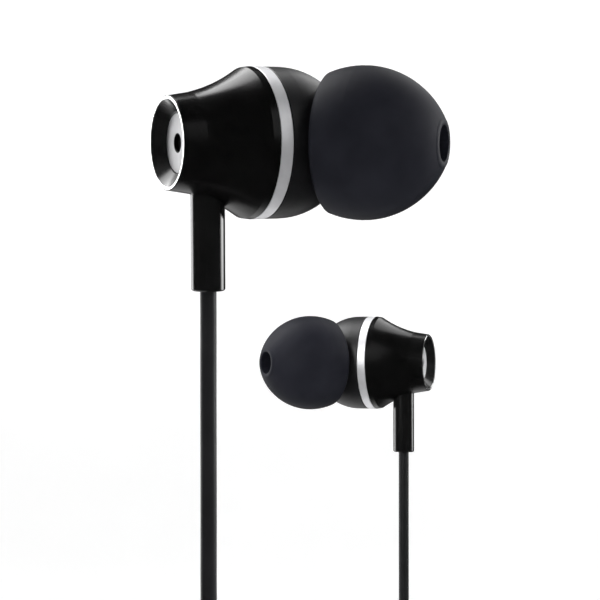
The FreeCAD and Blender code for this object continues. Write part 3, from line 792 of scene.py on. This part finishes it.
def stage_profile():
    """(Radius, height) pairs from the floor's edge, round the bend and up the wall."""
    floor_z = CAD_BOX[0][2] - FLOOR_GAP
    profile = [(FLOOR_RADIUS, floor_z)]
    for step in range(1, BEND_STEPS + 1):
        turn = math.pi / 2 * step / BEND_STEPS
        profile.append((
            FLOOR_RADIUS + BEND_RADIUS * math.sin(turn),
            floor_z + BEND_RADIUS * (1 - math.cos(turn)),
        ))
    profile.append((FLOOR_RADIUS + BEND_RADIUS, floor_z + WALL_HEIGHT))
    return profile


def make_stage():
    """Plain pale floor that curves up on every side into a round backdrop."""
    profile = stage_profile()
    mesh = bmesh.new()
    middle = mesh.verts.new((0.0, FLOOR_MIDDLE_Y, profile[0][1]))
    rings = []
    for radius, height in profile:
        ring = []
        for step in range(STAGE_SEGMENTS):
            turn = 2 * math.pi * step / STAGE_SEGMENTS
            y = FLOOR_MIDDLE_Y + radius * math.sin(turn)
            ring.append(mesh.verts.new((radius * math.cos(turn), y, height)))
        rings.append(ring)
    for step in range(STAGE_SEGMENTS):
        after = (step + 1) % STAGE_SEGMENTS
        mesh.faces.new((middle, rings[0][after], rings[0][step])).smooth = True
        for low, high in zip(rings, rings[1:]):
            mesh.faces.new((low[step], low[after], high[after], high[step])).smooth = True
    obj = piece_from(mesh, "backdrop")
    paper = Shader("pale_backdrop", Specular_IOR_Level=0.1, Emission_Strength=0.34)
    paper.shader.inputs["Emission Color"].default_value = (1, 1, 1, 1)
    paper.colour(paper.ramp(paper.noise(60.0), [(0.3, grey(0.88)), (0.7, grey(0.90))]))
    paper.rough(paper.spread(paper.noise(8.0), 0.8, 0.9))
    paper.material.cycles.emission_sampling = "NONE"
    paint(obj, paper.material)
    obj.visible_glossy = False


# The lighter patch of the surroundings: its direction, where its edge starts and ends by the cosine
# of the angle from there, and the strength outside and inside it.
PATCH_TOWARD = (-0.22, 0.66, -0.72)
PATCH_EDGE = (0.78, 0.98)
PATCH_STRENGTH = (0.015, 1.1)


def make_world():
    """Dark surroundings, with a soft lighter patch low down behind the object on the left."""
    world = bpy.data.worlds.new("studio")
    bpy.context.scene.world = world
    world.use_nodes = True
    tree = world.node_tree
    background = tree.nodes["Background"]
    background.inputs["Color"].default_value = (1, 1, 1, 1)
    place = tree.nodes.new("ShaderNodeTexCoord")
    toward = tree.nodes.new("ShaderNodeVectorMath")
    toward.operation = "DOT_PRODUCT"
    toward.inputs[1].default_value = PATCH_TOWARD
    level = tree.nodes.new("ShaderNodeMapRange")
    level.interpolation_type = "SMOOTHSTEP"
    set_range(level, *PATCH_EDGE, *PATCH_STRENGTH)
    tree.links.new(place.outputs["Generated"], toward.inputs[0])
    tree.links.new(toward.outputs["Value"], level.inputs["Value"])
    tree.links.new(level.outputs["Result"], background.inputs["Strength"])


NEAR_BUD = Vector((-0.008, 0.0, 0.0))
FAR_BUD = Vector((0.0, 0.08, -0.021))

# Each light: name, the bud it faces, direction from that bud, distance, size, watts and spread.
SOFTBOXES = (
    ("key_box", NEAR_BUD, (-0.52, 0.42, 0.74), 0.45, (0.36, 0.36), 2.7, 180),
    ("left_strip", NEAR_BUD, (-0.73, 0.68, 0.0), 0.40, (0.24, 0.36), 1.0, 180),
    ("right_box", NEAR_BUD, (0.90, 0.40, 0.18), 0.15, (0.14, 0.15), 0.06, 45),
    ("back_box", NEAR_BUD, (0.45, 0.62, 0.64), 0.45, (0.30, 0.30), 0.8, 180),
    ("front_fill", NEAR_BUD, (0.72, -0.56, 0.40), 0.40, (0.30, 0.30), 0.24, 180),
    ("far_card", FAR_BUD, (-0.55, -0.76, 0.36), 0.10, (0.04, 0.07), 0.011, 80),
)


def make_lights():
    """Soft boxes round the near bud, and a small card for the far one."""
    for name, bud, toward, away, size, power, spread in SOFTBOXES:
        softbox(name, bud + Vector(toward).normalized() * away, bud, size, power, spread)


# ---------------------------------------------------------------- assembly

make_camera()
finishes = materials()
strap = make_strap()
paint(strap, finishes["strap"][COMMON])
make_cords(finishes["cord_jacket"][COMMON])
paint_frame(finishes)
make_world()
make_lights()
make_stage()
bpy.context.scene.view_settings.view_transform = "Standard"
